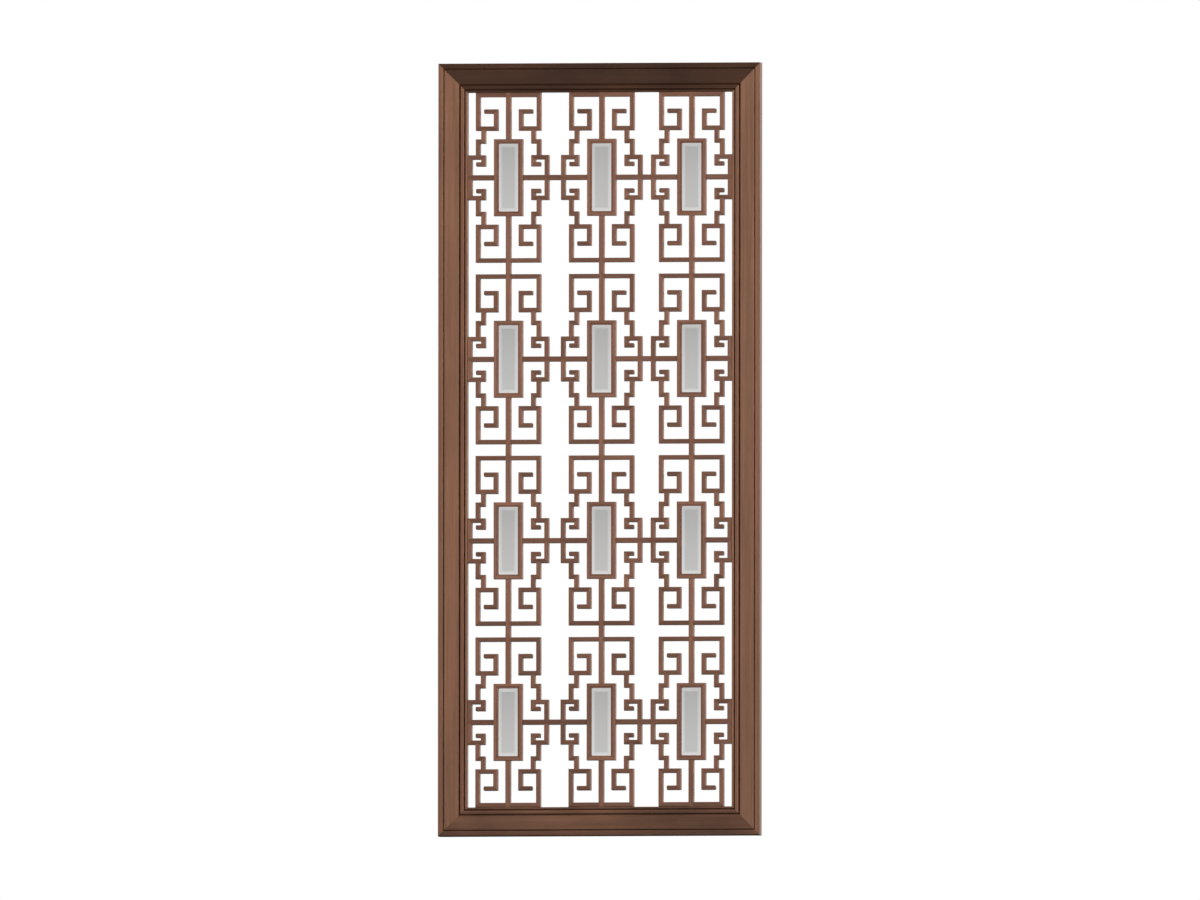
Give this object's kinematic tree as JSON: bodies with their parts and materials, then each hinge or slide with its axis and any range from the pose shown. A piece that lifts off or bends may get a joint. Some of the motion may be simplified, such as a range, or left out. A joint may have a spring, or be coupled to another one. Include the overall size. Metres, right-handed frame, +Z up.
{
  "type": "lattice panel",
  "caption": "Tall wooden key-fret lattice panel: a mitred moulded frame round open fretwork of square sticks with small bevelled grey glass panes, to build into a divider or opening.",
  "frame": {"origin": "middle of the flat bottom edge, on the sill that carries the panel", "axes": "+Z up along the stiles, +X to the viewer's right, and the moulded front faces -Y"},
  "size_m": [1.007, 0.05, 2.4],
  "materials": {
    "frame_wood": "brown stain under satin lacquer",
    "fret_wood": "brown stain under satin lacquer",
    "grey_glass": "polished, grey tinted, bevelled round the front"
  },
  "bodies": {
    "root": {"frame_stile_left": "frame_wood", "frame_stile_right": "frame_wood", "frame_rail_top": "frame_wood", "frame_rail_bottom": "frame_wood", "fret_r1_c1": "fret_wood", "fret_r1_c2": "fret_wood", "fret_r1_c3": "fret_wood", "fret_r2_c1": "fret_wood", "fret_r2_c2": "fret_wood", "fret_r2_c3": "fret_wood", "fret_r3_c1": "fret_wood", "fret_r3_c2": "fret_wood", "fret_r3_c3": "fret_wood", "fret_r4_c1": "fret_wood", "fret_r4_c2": "fret_wood", "fret_r4_c3": "fret_wood", "pane_frame_r1_c1": "fret_wood", "pane_frame_r1_c2": "fret_wood", "pane_frame_r1_c3": "fret_wood", "pane_frame_r2_c1": "fret_wood", "pane_frame_r2_c2": "fret_wood", "pane_frame_r2_c3": "fret_wood", "pane_frame_r3_c1": "fret_wood", "pane_frame_r3_c2": "fret_wood", "pane_frame_r3_c3": "fret_wood", "pane_frame_r4_c1": "fret_wood", "pane_frame_r4_c2": "fret_wood", "pane_frame_r4_c3": "fret_wood", "pane_r1_c1": "grey_glass", "pane_r1_c2": "grey_glass", "pane_r1_c3": "grey_glass", "pane_r2_c1": "grey_glass", "pane_r2_c2": "grey_glass", "pane_r2_c3": "grey_glass", "pane_r3_c1": "grey_glass", "pane_r3_c2": "grey_glass", "pane_r3_c3": "grey_glass", "pane_r4_c1": "grey_glass", "pane_r4_c2": "grey_glass", "pane_r4_c3": "grey_glass"}
  },
  "joints": []
}
